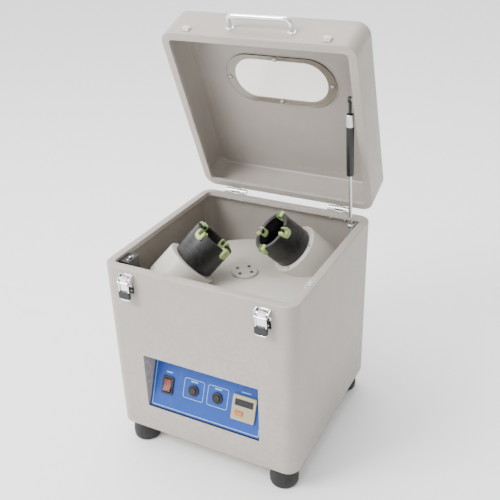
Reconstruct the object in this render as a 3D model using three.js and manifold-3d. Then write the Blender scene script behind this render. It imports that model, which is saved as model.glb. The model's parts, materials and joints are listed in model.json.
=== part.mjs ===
// Two-cup planetary mixer for jars of paste: a square sheet-steel cabinet on rubber feet, with a
// sprung lid, an inclined control panel, and a rotor whose two tilted cups counter-spin on gears.
// Units are millimetres, +X is the right-hand side, +Y the back, +Z up.
import * as THREE from 'three';
import { mergeVertices } from 'three/addons/utils/BufferGeometryUtils.js';
import Module from 'manifold-3d';

const wasm = await Module();
wasm.setup();

// ---------------------------------------------------------------- driving dimensions
const DEG = Math.PI / 180;
const GAP = 0.3;                    // left between pieces that touch
const RUN = 0.4;                    // radial clearance of a turning or sliding fit
const CUT = 1;                      // how far a cutting tool runs past the face it opens
const BITE = 1;                     // how far joined solids run into one another
const CHAMFER = 1;                  // broken edges of turned parts
const FLAT = 0.1;                   // half the straight left in a stadium's round end
const CASE = { w: 400, d: 398, h: 376, wall: 2, corner: 26, rim: 17 };
const LID = { depth: 81, open: 68.1 * DEG, seam: 1, edge: 4 };
const FOOT = {
  r: 29, h: 50, tread: 25, top: 22, bulge: 10, waist: 34, soft: 1, insetX: 38, insetY: 34,
};
const HINGE = {
  back: 9, rise: 1.6, spread: 250, w: 52, pin: 3, knuckle: 5.5, leaf: 2.5, drop: 30,
  relief: 1.5, lap: 0.5, root: 1,
};
const BASE = { t: 2, slots: 5, slotW: 8, slotLen: 90, slotCorner: 2, pitch: 20, x: 90, y: -40 };
const DECK = { drop: 127, t: 3 };

const RECESS = { w: 252, h: 125, z: 61, shallow: 3, deep: 52, sheet: 1.5, cheekUp: 8 };
const PANEL = { t: 2, margin: 1, low: 1, high: 2, stand: 0.6, holeCorner: 1, fit: 0.5 };
const ROCKER = {
  x: -89, y: 52, w: 25, h: 37, corner: 2.5, frame: 4, tubInset: 2.5, lip: 3, depth: 14, floor: 2,
  throw: 20 * DEG, swing: 1.6, keyRoot: 3, keyDown: 7, shoulder: 2, rise: 4.2, dish: 2.6, slant: 0.6,
  pivotUp: 1,
};
const BUTTON = {
  xs: [-30, 24], y: 56, r: 7, ring: 3.5, hole: 1.2, lip: 3, proud: 4.5, travel: 3, depth: 16,
  stem: 5, skirt: 1, crown: 1.2,
};
const TIMER = {
  x: 84, y: 52, size: 50, corner: 2.5, lip: 5, depth: 40, bodyInset: 3, display: [39, 13],
  displayUp: 11, pocket: 1.5, glassCorner: 0.8, glassSunk: 0.2,
};
const KEY = { w: 17, h: 9, corner: 1.2, x: -9, down: 11, proud: 1.8, travel: 1, depth: 3 };

const WINDOW = { w: 204, h: 92, y: -53 };
const PANE = { w: 242, h: 114, t: 3 };
const HANDLE = { x: 6, span: 126, rod: 5, proud: 26, z: 30, bend: 11, halfSides: 6 };
const LATCH = {
  x: 142, w: 28, top: 9, plateH: 40, plateT: 1.5, pivotDown: 17, pivotOut: 8, pin: 2, pinShort: 0.5,
  ear: 8, nose: 4, cheek: 3,
};
const LEVER = { w: 14, len: 37, t: 2, out: 3, tip: 8, hook: 1, lugInset: 2, lugT: 2, lugHalf: 3 };
const BAIL = { crank: 6, out: 3, wire: 1.6, w: 23, len: 36, eye: 2.2, bend: 4, halfSides: 4 };
const KEEPER = { w: 14, z: 14, h: 14, t: 2, out: 6, shift: 1 };

const STRUT = {
  x: 170, tubeR: 7.5, tubeLen: 130, rodR: 3.5, neckR: 3, eyeR: 6, eyeT: 7, studR: 3.5, neck: 28,
  plug: 15, collar: 1.5, collarLen: 12, engage: 25,
};
const STRUT_CASE = { y: 150.7, down: 4.7, air: 2, past: 1 };
const STRUT_LID = { y: -72.2, up: 18.6, plateOut: 7 };
const BRACKET = { t: 3, w: 24, h: 34, below: 8 };
const SWITCH = {
  x: 171, y: -150, w: 22, d: 36, h: 26, down: 4, pinR: 3, pinIn: 3, pinUp: 3.4, pinLow: 3.5,
  travel: 3, air: 1.5,
};

const ROTOR = { angle: 39.8 * DEG, discR: 152, disc: 5, drop: 77, hubR: 26, hubT: 5, bossDown: 5 };
const CUP = {
  tilt: 45 * DEG, r: 43.75, len: 66.5, wall: 6.75, floor: 8, edge: 2, baseR: 103.6, baseDrop: 36.4,
};
const NOTCH = { count: 4, w: 24, depth: 15, turn: 30 * DEG };
const GRIP = { w: 21, t: 3, depth: 21, proud: 2.5, sunk: 1, lugBite: 0.5, lugFloor: 1, slotFloor: 5 };
const HOUSING = { r: 54.5, wall: 3, len: 66, top: 10, below: 30 };
const PLANET = { shaftR: 10, slantOut: 110, face: 14, collar: 6, collarDown: 3, stub: 3 };
const IDLER = { shaftR: 8, bossR: 14, spurT: 11, neckR: 18, room: 14, over: 1, under: 4, sunk: 0.5 };
const GEAR = { module: 3, sun: 20, idler: 24, tip: 0.8, root: 1.05, rootShare: 0.3, tipShare: 0.11 };
const BEVEL = { teeth: 24, tip: 2 * DEG, root: 2.6 * DEG };
const SUN = { up: 3, air: 1.5 };
const SHAFT = { r: 12, below: 8 };
const BEARING = { r: 17.5, race: 9, seat: 2, waist: 1.2 };
const SPINDLE = { r: 22, flangeR: 46, flangeT: 11, bottom: 218 };
const DRIVE = {
  z: 188, h: 18, rMain: 66, rMotor: 24, belt: 3, beltH: 12, lip: 3, side: 0.5, webs: 4, webR: 14,
  webAt: 39.6,
};
const MOTOR = {
  y: 108, r: 54, h: 112, shaftR: 7, lift: 15, air: 1, past: 2, boss: 8, footIn: 6, footUp: 5,
  finFrom: 14, finPitch: 16, finW: 6, finDeep: 3,
};
const STAND = { t: 4, inner: 124, front: 64, back: 20, toe: 20, hole: 3 };
const DRIVER = { x: -140, y: 10, w: 70, d: 150, h: 62, fins: 7, finT: 3, finH: 12 };
const REAR = {
  w: 280, h: 130, z: 100, t: 1.5, corner: 6, overlap: 10, slots: 4, slotW: 110, slotH: 7, pitch: 26,
  gutter: 16,
};
const INLET = {
  x: 120, z: 76, w: 28, h: 22, flangeW: 50, flangeT: 3, brim: 2, depth: 22, skin: 3, floor: 4,
  pin: 1.5, pinPitch: 7, pinTip: 2, earthUp: 3,
};
const ROUND = 18;                   // sides of a plain round part
const EYE = 16;                     // sides of a knuckle or an eye
const PIN = 12;                     // sides of a thin pin
const CUP_SIDES = 32;               // sides of a cup, its housing and the large pulley
const DISC_SIDES = 40;              // sides of the rotor's disc
const CORNER = 3;                   // half the sides of a rounded corner
const END_ROUND = 7;                // half the sides of a stadium's round end
const BELT_ROUND = 8;               // half the sides of the belt's bends
const BAR_STEPS = 8;                // steps along each leg of a bent bar
const EDGE_OUTSIDE = 3;             // steps round the lid's outer edge
const EDGE_INSIDE = 2;              // steps round its inner edge

// ---------------------------------------------------------------- places worked out from them
const rimZ = FOOT.h + CASE.h;
const backY = CASE.d / 2;
const frontY = -CASE.d / 2;
const hingeY = backY + HINGE.back;
const hingeZ = rimZ + HINGE.rise;
const seamZ = rimZ + LID.seam;
const deckZ = rimZ - DECK.drop;
const discZ = rimZ - ROTOR.drop;
const discUnder = discZ - ROTOR.disc;
const panelTilt = Math.atan2(RECESS.deep - RECESS.shallow, RECESS.h);
const sunR = GEAR.module * GEAR.sun / 2;
const idlerR = GEAR.module * GEAR.idler / 2;
const idlerAxis = sunR + idlerR;
const baseSlant = (CUP.baseR - idlerAxis) / Math.sin(CUP.tilt);
const apexZ = rimZ - CUP.baseDrop + baseSlant * Math.cos(CUP.tilt);
const bevelZ = apexZ - PLANET.slantOut;
const bevelTopZ = bevelZ + PLANET.face;
const sunZ = deckZ + SUN.up;
const motorTop = FOOT.h + BASE.t + MOTOR.lift + MOTOR.h;
const cupBore = CUP.r - CUP.wall;
const crankY = -LATCH.pin - RUN - BAIL.out;
const switchTop = rimZ - CASE.wall - SWITCH.down;

// ---------------------------------------------------------------- solid modelling helpers
function solid(geometry) {
  const g = geometry.clone();
  g.deleteAttribute('normal');
  g.deleteAttribute('uv');
  const merged = mergeVertices(g, 1e-5);
  return new wasm.Manifold(new wasm.Mesh({
    numProp: 3,
    vertProperties: new Float32Array(merged.attributes.position.array),
    triVerts: new Uint32Array(merged.index.array),
  }));
}

function geometryOf(manifold) {
  const mesh = manifold.getMesh();
  const g = new THREE.BufferGeometry();
  g.setAttribute('position', new THREE.BufferAttribute(new Float32Array(mesh.vertProperties), 3));
  g.setIndex(new THREE.BufferAttribute(new Uint32Array(mesh.triVerts), 1));
  return g;
}

function join(...parts) {
  return geometryOf(parts.map(solid).reduce((a, b) => a.add(b)));
}

function cut(base, ...tools) {
  return geometryOf(tools.map(solid).reduce((a, b) => a.subtract(b), solid(base)));
}

// a box between two corners
function block(x0, x1, y0, y1, z0, z1) {
  return new THREE.BoxGeometry(x1 - x0, y1 - y0, z1 - z0)
    .translate((x0 + x1) / 2, (y0 + y1) / 2, (z0 + z1) / 2);
}

// an upright cylinder or cone frustum between two heights
function rod(r, z0, z1, sides = ROUND, rTop = r) {
  return new THREE.CylinderGeometry(rTop, r, z1 - z0, sides)
    .rotateX(Math.PI / 2)
    .translate(0, 0, (z0 + z1) / 2);
}

// a cylinder along X between two places
function rodX(r, x0, x1, y, z, sides = ROUND) {
  return new THREE.CylinderGeometry(r, r, x1 - x0, sides)
    .rotateZ(Math.PI / 2)
    .translate((x0 + x1) / 2, y, z);
}

// a solid of revolution about Z from [radius, height] pairs
function turned(profile, sides = ROUND) {
  const points = profile.map(([r, z]) => new THREE.Vector2(r, z));
  return new THREE.LatheGeometry(points, sides).rotateX(Math.PI / 2);
}

function roundedRect(w, h, r, cx = 0, cy = 0, path = new THREE.Shape()) {
  const x = w / 2 - r;
  const y = h / 2 - r;
  path.absarc(cx + x, cy - y, r, -Math.PI / 2, 0);
  path.absarc(cx + x, cy + y, r, 0, Math.PI / 2);
  path.absarc(cx - x, cy + y, r, Math.PI / 2, Math.PI);
  path.absarc(cx - x, cy - y, r, Math.PI, Math.PI * 1.5);
  path.closePath();
  return path;
}

// a rounded rectangle with fully round ends
function stadium(w, h, cx, cy, path = new THREE.Shape()) {
  return roundedRect(w, h, h / 2 - FLAT, cx, cy, path);
}

function slab(shape, z0, z1, segments = CORNER) {
  return new THREE.ExtrudeGeometry(shape, { depth: z1 - z0, bevelEnabled: false, curveSegments: segments })
    .translate(0, 0, z0);
}

// a shape drawn in the YZ plane, extruded along X
function slabX(points, x0, x1) {
  const shape = new THREE.Shape(points.map(([y, z]) => new THREE.Vector2(y, z)));
  return new THREE.ExtrudeGeometry(shape, { depth: x1 - x0, bevelEnabled: false })
    .rotateX(Math.PI / 2)
    .rotateZ(Math.PI / 2)
    .translate(x0, 0, 0);
}

function ringShape(outer, hole) {
  outer.holes.push(hole);
  return outer;
}

// a bent round bar along a polyline whose corners are rounded
function bar(points, radius, bend, halfSides) {
  const path = new THREE.CurvePath();
  const v = points.map((p) => new THREE.Vector3(...p));
  let start = v[0];
  for (let i = 1; i < v.length - 1; i += 1) {
    const before = v[i].clone().add(v[i - 1].clone().sub(v[i]).setLength(bend));
    const after = v[i].clone().add(v[i + 1].clone().sub(v[i]).setLength(bend));
    path.add(new THREE.LineCurve3(start, before));
    path.add(new THREE.QuadraticBezierCurve3(before, v[i], after));
    start = after;
  }
  path.add(new THREE.LineCurve3(start, v[v.length - 1]));
  const section = new THREE.Shape();
  section.absarc(0, 0, radius, 0, 2 * Math.PI);
  return new THREE.ExtrudeGeometry(section, {
    steps: BAR_STEPS * (points.length - 1),
    extrudePath: path,
    curveSegments: halfSides,
    bevelEnabled: false,
  });
}

// ---------------------------------------------------------------- materials
function finish(color, roughness, metalness) {
  return () => new THREE.MeshStandardMaterial({ color, roughness, metalness });
}

const paint = finish(0xb9b0a8, 0.5, 0.1);
const offWhite = finish(0xdcd8d0, 0.5, 0.1);
const bluePrint = finish(0x0a5ac8, 0.35, 0);
const blackPlastic = finish(0x141414, 0.45, 0);
const rubber = finish(0x101010, 0.85, 0);
const chrome = finish(0xd8d8dc, 0.15, 1);
const steel = finish(0xa8a8ac, 0.35, 1);
const darkSteel = finish(0x55565a, 0.45, 0.9);
const green = finish(0x9fb56a, 0.4, 0);
const cream = finish(0xcbbf9c, 0.5, 0);
const orange = finish(0xc8763a, 0.45, 0);
const red = finish(0x6a1712, 0.35, 0);
const clear = finish(0xe6e6e0, 0.1, 0);

function part(name, geometry, material) {
  const mesh = new THREE.Mesh(geometry, material());
  mesh.name = name;
  return mesh;
}

// ---------------------------------------------------------------- cabinet
function caseShell() {
  const { w, d, wall, corner, rim } = CASE;
  const outline = roundedRect(w, d, corner);
  const bay = roundedRect(w - 2 * wall, d - 2 * wall, corner - wall, 0, 0, new THREE.Path());
  const walls = slab(ringShape(outline, bay), FOOT.h, rimZ);
  const recessZ = FOOT.h + RECESS.z;
  const panelMouth = block(
    -RECESS.w / 2, RECESS.w / 2, frontY - CUT, frontY + wall + CUT, recessZ, recessZ + RECESS.h);
  const hatch = block(
    -REAR.w / 2 + REAR.overlap, REAR.w / 2 - REAR.overlap, backY - wall - CUT, backY + CUT,
    FOOT.h + REAR.z + REAR.overlap, FOOT.h + REAR.z + REAR.h - REAR.overlap);
  const inletZ = FOOT.h + INLET.z;
  const inlet = block(
    INLET.x - INLET.w / 2 - GAP, INLET.x + INLET.w / 2 + GAP, backY - wall - CUT, backY + CUT,
    inletZ - INLET.h / 2 - GAP, inletZ + INLET.h / 2 + GAP);
  return part('case_shell', cut(join(walls, rimFlange(rimZ - wall)), panelMouth, hatch, inlet), paint);
}

// the inward flange round a mouth; its outer edge is buried halfway into the wall
function rimFlange(z) {
  const { w, d, wall, corner, rim } = CASE;
  const outer = roundedRect(w - wall, d - wall, corner - wall / 2);
  const mouth = roundedRect(w - 2 * rim, d - 2 * rim, corner - rim, 0, 0, new THREE.Path());
  return slab(ringShape(outer, mouth), z, z + wall);
}

function bayPlate(z0, z1, holes) {
  const inset = CASE.wall + GAP;
  const shape = roundedRect(CASE.w - 2 * inset, CASE.d - 2 * inset, CASE.corner - inset);
  holes.forEach((h) => shape.holes.push(h));
  return slab(shape, z0, z1);
}

function basePlate() {
  const { t, slots, slotW, slotLen, slotCorner, pitch, x, y } = BASE;
  const vents = Array.from({ length: slots }, (_, i) => roundedRect(
    slotW, slotLen, slotCorner, x + (i - (slots - 1) / 2) * pitch, y, new THREE.Path()));
  return part('base_plate', bayPlate(FOOT.h, FOOT.h + t, vents), paint);
}

function chamberDeck() {
  const hole = rod(SPINDLE.r + RUN, deckZ - DECK.t - CUT, deckZ + CUT);
  return part('chamber_deck', cut(bayPlate(deckZ - DECK.t, deckZ, []), hole), offWhite);
}

function foot(name, sx, sy) {
  const { r, h, tread, top, bulge, waist, soft } = FOOT;
  const profile = [
    [0, 0], [tread, 0], [(tread + r) / 2 + soft, bulge / 3], [r, bulge], [r, 2 * bulge],
    [(top + r) / 2 + soft, waist], [top, h - GAP], [0, h - GAP]];
  const mesh = part(name, turned(profile), rubber);
  mesh.position.set(sx * (CASE.w / 2 - FOOT.insetX), sy * (CASE.d / 2 - FOOT.insetY), 0);
  return mesh;
}

function rearCover() {
  const { w, h, t, z, corner, slots, slotW, slotH, pitch, gutter } = REAR;
  const plate = roundedRect(w, h, corner);
  for (let i = 0; i < slots; i += 1) {
    const y = (i - (slots - 1) / 2) * pitch;
    [-1, 1].forEach((side) => {
      const x = side * (slotW + gutter) / 2;
      plate.holes.push(stadium(slotW, slotH, x, y, new THREE.Path()));
    });
  }
  const mesh = part('rear_cover', slab(plate, 0, t, 1), paint);
  mesh.rotation.x = Math.PI / 2;
  mesh.position.set(0, backY + GAP + t, FOOT.h + z + h / 2);
  return mesh;
}

function mainsInlet() {
  const { w, h, flangeW, flangeT, brim, depth, skin, floor, pin, pinPitch, pinTip, earthUp } = INLET;
  const flange = block(-flangeW / 2, flangeW / 2, GAP, flangeT, -h / 2 - brim, h / 2 + brim);
  const body = block(-w / 2, w / 2, -depth, flangeT, -h / 2, h / 2);
  const socket = block(
    skin - w / 2, w / 2 - skin, floor - depth, flangeT + CUT, skin - h / 2, h / 2 - skin);
  const pins = [-1, 0, 1].map((i) => {
    const x = i * pinPitch;
    const z = i ? 0 : earthUp;
    return block(x - pin, x + pin, floor - depth - BITE, -pinTip, z - pin, z + pin);
  });
  const mesh = part('mains_inlet', join(cut(join(flange, body), socket), ...pins), blackPlastic);
  mesh.position.set(INLET.x, backY, FOOT.h + INLET.z);
  return mesh;
}

// ---------------------------------------------------------------- control panel
// The recess: two wedge cheeks and a roof, folded from one sheet that hangs behind the front wall.
function controlRecess() {
  const { w, h, z, shallow, deep, sheet, cheekUp } = RECESS;
  const z0 = FOOT.h + z;
  const low = z0 + cheekUp;
  const top = z0 + h + sheet;
  const y = frontY + CASE.wall + GAP;
  const slope = (height) => frontY + shallow + (deep - shallow) * (height - z0) / h;
  const cheek = [[y, low], [slope(low), low], [slope(top), top], [y, top]];
  const left = slabX(cheek, -w / 2 - sheet, -w / 2);
  const right = slabX(cheek, w / 2, w / 2 + sheet);
  const roof = block(-w / 2 - sheet, w / 2 + sheet, y, slope(z0 + h), z0 + h, top);
  return part('control_recess', join(left, right, roof), paint);
}

function controlPanel() {
  const { t, margin, low, high, holeCorner, fit } = PANEL;
  const slopeLen = Math.hypot(RECESS.h, RECESS.deep - RECESS.shallow);
  const half = RECESS.w / 2 - margin;
  const plate = new THREE.Shape();
  plate.moveTo(-half, low);
  plate.lineTo(half, low);
  plate.lineTo(half, slopeLen - high);
  plate.lineTo(-half, slopeLen - high);
  plate.closePath();
  const opening = (w, h, inset, x, y) => plate.holes.push(roundedRect(
    w - 2 * (inset - fit), h - 2 * (inset - fit), holeCorner, x, y, new THREE.Path()));
  opening(ROCKER.w, ROCKER.h, ROCKER.tubInset, ROCKER.x, ROCKER.y);
  opening(TIMER.size, TIMER.size, TIMER.bodyInset, TIMER.x, TIMER.y);
  const buttonHoles = BUTTON.xs.map((x) => rod(BUTTON.r + BUTTON.hole, -t - CUT, CUT)
    .translate(x, BUTTON.y, 0));
  return part('control_panel', cut(slab(plate, -t, 0, 1), ...buttonHoles), bluePrint);
}

function panelGroup() {
  const group = new THREE.Group();
  group.position.set(0, frontY + RECESS.shallow + PANEL.stand, FOOT.h + RECESS.z);
  group.rotation.x = Math.PI / 2 - panelTilt;
  group.add(controlPanel(), rockerBezel(), rockerKey(), ...BUTTON.xs.flatMap(pushButton));
  group.add(timerCase(), timerDisplay(), timerKey());
  return group;
}

function rockerBezel() {
  const { w, h, corner, frame, tubInset, lip, depth, floor } = ROCKER;
  const sized = (inset, z0, z1) => block(inset - w / 2, w / 2 - inset, inset - h / 2, h / 2 - inset, z0, z1);
  const rimPlate = slab(roundedRect(w, h, corner), GAP, lip);
  const tub = sized(tubInset, -depth, lip - BITE);
  const well = sized(frame, floor - depth, lip + CUT);
  const mesh = part('rocker_bezel', cut(join(rimPlate, tub), well), blackPlastic);
  mesh.position.set(ROCKER.x, ROCKER.y, 0);
  return mesh;
}

// a shallow V of a key, rocking about an axis just above the panel
function rockerKey() {
  const { keyRoot, keyDown, shoulder, rise, dish, slant, pivotUp } = ROCKER;
  const halfW = ROCKER.w / 2 - ROCKER.frame - RUN;
  const reach = ROCKER.h / 2 - ROCKER.frame - RUN - ROCKER.swing;
  const profile = [
    [-keyRoot, -keyDown], [keyRoot, -keyDown], [reach, shoulder], [reach - slant, rise],
    [0, dish], [slant - reach, rise], [-reach, shoulder]];
  const mesh = part('rocker_key', slabX(profile, -halfW, halfW), red);
  mesh.position.set(ROCKER.x, ROCKER.y, pivotUp);
  mesh.rotation.x = -ROCKER.throw / 2;
  return mesh;
}

function pushButton(x, index) {
  const { r, ring, lip, proud, depth, travel, stem, skirt, crown } = BUTTON;
  const bezel = turned([
    [r + RUN, GAP], [r + ring, GAP], [r + ring, lip - CHAMFER], [r + ring - CHAMFER, lip],
    [r + RUN, lip], [r + RUN, GAP]]);
  const cap = turned([
    [0, -depth], [stem, -depth], [stem, -travel - skirt], [r, -travel - skirt],
    [r, proud - CHAMFER], [r - crown, proud], [0, proud]]);
  const meshes = [
    part(`button_bezel_${index + 1}`, bezel, blackPlastic),
    part(`push_button_${index + 1}`, cap, blackPlastic),
  ];
  meshes.forEach((m) => m.position.set(x, BUTTON.y, 0));
  return meshes;
}

function timerCase() {
  const { size, lip, depth, corner, bodyInset, display, displayUp, pocket } = TIMER;
  const half = size / 2 - bodyInset;
  const bezel = slab(roundedRect(size, size, corner), GAP, lip);
  const body = block(-half, half, -half, half, -depth, lip - BITE);
  const glass = block(
    -display[0] / 2 - GAP, display[0] / 2 + GAP,
    displayUp - display[1] / 2 - GAP, displayUp + display[1] / 2 + GAP, lip - pocket, lip + CUT);
  const hw = KEY.w / 2 + RUN;
  const hh = KEY.h / 2 + RUN;
  const wellFloor = lip - KEY.depth - KEY.travel - GAP;
  const well = block(KEY.x - hw, KEY.x + hw, -KEY.down - hh, hh - KEY.down, wellFloor, lip + CUT);
  const mesh = part('timer_case', cut(join(bezel, body), glass, well), cream);
  mesh.position.set(TIMER.x, TIMER.y, 0);
  return mesh;
}

function timerDisplay() {
  const { lip, pocket, glassCorner, glassSunk } = TIMER;
  const [w, h] = TIMER.display;
  const glass = slab(roundedRect(w, h, glassCorner), lip - pocket + GAP, lip - glassSunk);
  const mesh = part('timer_display', glass, blackPlastic);
  mesh.position.set(TIMER.x, TIMER.y + TIMER.displayUp, 0);
  return mesh;
}

function timerKey() {
  const cap = slab(roundedRect(KEY.w, KEY.h, KEY.corner), TIMER.lip - KEY.depth, TIMER.lip + KEY.proud);
  const mesh = part('timer_key', cap, orange);
  mesh.position.set(TIMER.x + KEY.x, TIMER.y - KEY.down, 0);
  return mesh;
}

// ---------------------------------------------------------------- lid, built shut about its hinge line
function lidShell() {
  const { w, d, wall, corner } = CASE;
  const { edge } = LID;
  const top = rimZ + LID.depth;
  const outline = roundedRect(w, d, corner);
  const bay = roundedRect(w - 2 * wall, d - 2 * wall, corner - wall, 0, 0, new THREE.Path());
  const walls = slab(ringShape(outline, bay), seamZ, top - edge);
  const crownShape = () => roundedRect(w - 2 * edge, d - 2 * edge, corner - edge);
  const crown = new THREE.ExtrudeGeometry(crownShape(), {
    depth: wall / 2,
    bevelThickness: edge - wall / 2,
    bevelSize: edge,
    bevelSegments: EDGE_OUTSIDE,
    curveSegments: CORNER,
  }).translate(0, 0, top - edge);
  const below = block(-w, w, -d, d, seamZ, top - edge);
  const inner = edge - wall;
  const hollow = new THREE.ExtrudeGeometry(crownShape(), {
    depth: edge,
    bevelThickness: inner,
    bevelSize: inner,
    bevelSegments: EDGE_INSIDE,
    curveSegments: CORNER,
  }).translate(0, 0, top - wall - inner - edge);
  const window = slab(stadium(WINDOW.w, WINDOW.h, 0, WINDOW.y), top - wall - CUT, top + CUT, END_ROUND);
  return part('lid_shell', cut(join(walls, rimFlange(seamZ), cut(crown, below)), hollow, window), paint);
}

function windowPane() {
  const z = rimZ + LID.depth - CASE.wall - GAP;
  return part('window_pane', slab(stadium(PANE.w, PANE.h, 0, WINDOW.y), z - PANE.t, z, END_ROUND), clear);
}

function lidHandle() {
  const { x, span, proud, z, bend, halfSides } = HANDLE;
  const y0 = frontY - GAP;
  const y1 = frontY - proud;
  const left = x - span / 2;
  const right = x + span / 2;
  const path = [[left, y0, rimZ + z], [left, y1, rimZ + z], [right, y1, rimZ + z], [right, y0, rimZ + z]];
  return part('lid_handle', bar(path, HANDLE.rod, bend, halfSides), chrome);
}

// a plate with an upturned hook for the latch's wire loop
function keeper(name, side) {
  const { w, h, t, out, shift } = KEEPER;
  const z = rimZ + KEEPER.z;
  const back = frontY - GAP;
  const face = back - t;
  const tip = back - out;
  const outline = [
    [back, z + h / 2], [face, z + h / 2], [face, z - t / 2], [tip + t, z - t / 2],
    [tip + t, z + h / 3], [tip, z + h / 3], [tip, z - 1.5 * t], [face, z - 1.5 * t],
    [face, z - h / 2], [back, z - h / 2]];
  const x = side * (LATCH.x + shift);
  return part(name, slabX(outline, x - w / 2, x + w / 2), chrome);
}

// -------------------------------------------------------- hinges: three knuckles, pinned to the case leaf
function hingeParts(tag, side) {
  const { w, pin, knuckle, leaf, drop, spread, relief, lap, root } = HINGE;
  const third = w / 3;
  const wallY = backY + GAP - hingeY;
  const leafEdge = knuckle + relief;
  const barrel = (x0, x1) => rodX(knuckle, x0, x1, 0, 0, EYE);
  const flap = (x0, x1, z0, z1) => block(x0, x1, wallY, wallY + leaf, z0, z1);
  const web = (x0, x1, z0, z1) => block(x0, x1, wallY, 0, z0, z1);
  const knuckled = (x0, x1, z0, z1) => [barrel(x0, x1), web(x0, x1, z0, z1), flap(x0, x1, z0, z1)];
  const down = join(
    flap(-w / 2, w / 2, -drop, -leafEdge),
    ...knuckled(-w / 2, -w / 2 + third - GAP, -leafEdge - lap, -root),
    ...knuckled(w / 2 - third + GAP, w / 2, -leafEdge - lap, -root),
    rodX(pin, -w / 2, w / 2, 0, 0, EYE));
  const up = cut(
    join(
      flap(-w / 2, w / 2, leafEdge, drop),
      ...knuckled(-w / 2 + third + GAP, w / 2 - third - GAP, root, leafEdge + lap)),
    rodX(pin + RUN, -w, w, 0, 0, EYE));
  const lower = part(`case_hinge_${tag}`, down, steel);
  const upper = part(`lid_hinge_${tag}`, up, steel);
  [lower, upper].forEach((m) => m.position.set(side * spread / 2, hingeY, hingeZ));
  return { lower, upper };
}

// ---------------------------------------------------------------- draw latches on the front
function latch(tag, side) {
  const group = new THREE.Group();
  group.position.set(side * LATCH.x, frontY - GAP, rimZ - LATCH.pivotDown);
  const { w, top, plateH, plateT, pivotDown, pivotOut, pin, ear, nose, cheek, pinShort } = LATCH;
  const z1 = pivotDown - top;
  const plate = block(-w / 2, w / 2, -plateT, 0, z1 - plateH, z1);
  const outline = [
    [0, -ear], [0, ear], [-pivotOut - cheek, nose], [-pivotOut - nose, 0], [-pivotOut - cheek, -nose]];
  const ears = [
    slabX(outline, -w / 2, -w / 2 + plateT),
    slabX(outline, w / 2 - plateT, w / 2)];
  const axle = rodX(pin, pinShort - w / 2, w / 2 - pinShort, -pivotOut, 0, PIN);
  group.add(part(`latch_base_${tag}`, join(plate, ...ears, axle), chrome));
  const moving = new THREE.Group();
  moving.position.set(0, -pivotOut, 0);
  moving.add(latchLever(tag), latchBail(tag));
  group.add(moving);
  return group;
}

function latchLever(tag) {
  const { w, len, t, out, tip, hook, lugInset, lugT, lugHalf } = LEVER;
  const y = -LATCH.pin - RUN - t;
  const boss = rodX(LATCH.pin + RUN + t, -w / 2, w / 2, 0, 0, EYE);
  const strap = block(-w / 2, w / 2, y, y + t, tip - len, 0);
  const lip = slabX(
    [[y, tip - len], [y - out, -len], [y - out + t, -len - hook], [y + t, tip - len]], -w / 2, w / 2);
  const lug = block(
    lugInset - w / 2, w / 2 - lugInset, y - lugT, y + BITE, -BAIL.crank - lugHalf, lugHalf - BAIL.crank);
  const crank = rodX(BAIL.wire, -BAIL.w / 2, BAIL.w / 2, crankY, -BAIL.crank, PIN);
  const bore = rodX(LATCH.pin + RUN, -w, w, 0, 0, EYE);
  return part(`latch_lever_${tag}`, cut(join(boss, strap, lip, lug, crank), bore), chrome);
}

function latchBail(tag) {
  const { crank, wire, w, len, eye, bend, halfSides } = BAIL;
  const half = w / 2 - wire;
  const top = -crank - wire - 2 * RUN;
  const low = -crank - len;
  const path = [[-half, crankY, top], [-half, crankY, low], [half, crankY, low], [half, crankY, top]];
  const eyes = [-1, 1].map((s) => cut(
    rodX(wire + eye, s * half - wire, s * half + wire, crankY, -crank, EYE),
    rodX(wire + RUN, s * half - 2 * wire, s * half + 2 * wire, crankY, -crank, EYE)));
  return part(`latch_bail_${tag}`, join(bar(path, wire, bend, halfSides), ...eyes), chrome);
}

// ---------------------------------------------------------------- gas strut
const strutFoot = new THREE.Vector2(STRUT_CASE.y, rimZ - STRUT_CASE.down);
const lidStud = new THREE.Vector2(STRUT_LID.y - hingeY, rimZ + STRUT_LID.up - hingeZ);
const strutHead = lidStud.clone().rotateAround(new THREE.Vector2(), -LID.open)
  .add(new THREE.Vector2(hingeY, hingeZ));
const strutLen = strutHead.distanceTo(strutFoot);
const strutLean = Math.atan2(strutFoot.x - strutHead.x, strutHead.y - strutFoot.y);

function strutGroup() {
  const group = new THREE.Group();
  group.position.set(STRUT.x, strutFoot.x, strutFoot.y);
  group.rotation.x = strutLean;
  const { tubeR, tubeLen, rodR, neckR, eyeR, eyeT, studR, neck, plug, collar, collarLen, engage } = STRUT;
  const tubeTop = strutLen - neck;
  const tubeFoot = tubeTop - tubeLen;
  const boreTop = tubeTop - plug;
  const neckTop = strutLen - eyeR + 2 * BITE;
  const piston = join(
    cut(rodX(eyeR, -eyeT / 2, eyeT / 2, 0, 0, EYE), rodX(studR + RUN, -eyeT, eyeT, 0, 0, EYE)),
    rod(rodR + collar, eyeR - BITE, eyeR + collarLen, PIN),
    rod(rodR, eyeR + collarLen - BITE, tubeFoot + engage, PIN));
  const bottle = turned([
    [rodR + RUN, tubeFoot], [tubeR - CHAMFER, tubeFoot], [tubeR, tubeFoot + CHAMFER],
    [tubeR, tubeTop - 2 * CHAMFER], [tubeR - 2 * CHAMFER, tubeTop], [neckR, tubeTop + CHAMFER],
    [neckR, neckTop], [0, neckTop], [0, boreTop], [rodR + RUN, boreTop], [rodR + RUN, tubeFoot]], EYE);
  const head = rodX(eyeR, -eyeT / 2, eyeT / 2, 0, strutLen, EYE);
  const stud = rodX(studR, 0, STRUT_LID.plateOut - GAP, 0, strutLen, PIN);
  group.add(part('strut_rod', piston, steel), part('strut_cylinder', join(bottle, head, stud), blackPlastic));
  return group;
}

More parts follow.
